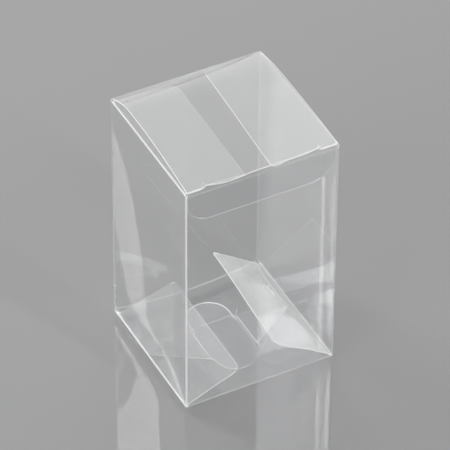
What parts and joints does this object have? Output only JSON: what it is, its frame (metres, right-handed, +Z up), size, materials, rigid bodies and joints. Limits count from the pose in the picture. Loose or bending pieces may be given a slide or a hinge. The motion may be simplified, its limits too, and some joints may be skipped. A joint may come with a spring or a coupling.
{
  "type": "clear folding box",
  "caption": "Tall clear plastic folding box with a tuck-in lid on a hinge crease and an interlocking bottom.",
  "frame": {"origin": "centre of the box's footprint, on the surface that it stands on", "axes": "+Z up along the walls, +Y towards the back wall that carries the lid's hinge crease, +X along the front wall to the right"},
  "size_m": [0.06, 0.059, 0.1064],
  "materials": {
    "clear_film": "clear gloss film with bright cut edges and creases",
    "clear_film_lid": "clear gloss film with bright cut edges and creases"
  },
  "bodies": {
    "body": {"box_body": "clear_film"},
    "lid": {"lid": "clear_film_lid"}
  },
  "joints": [
    {"name": "lid_hinge", "type": "hinge", "parent": "body", "child": "lid", "pos_m": [0, 0.02935, 0.10235], "axis": [-1, 0, 0], "range_deg": [0, 180]}
  ]
}
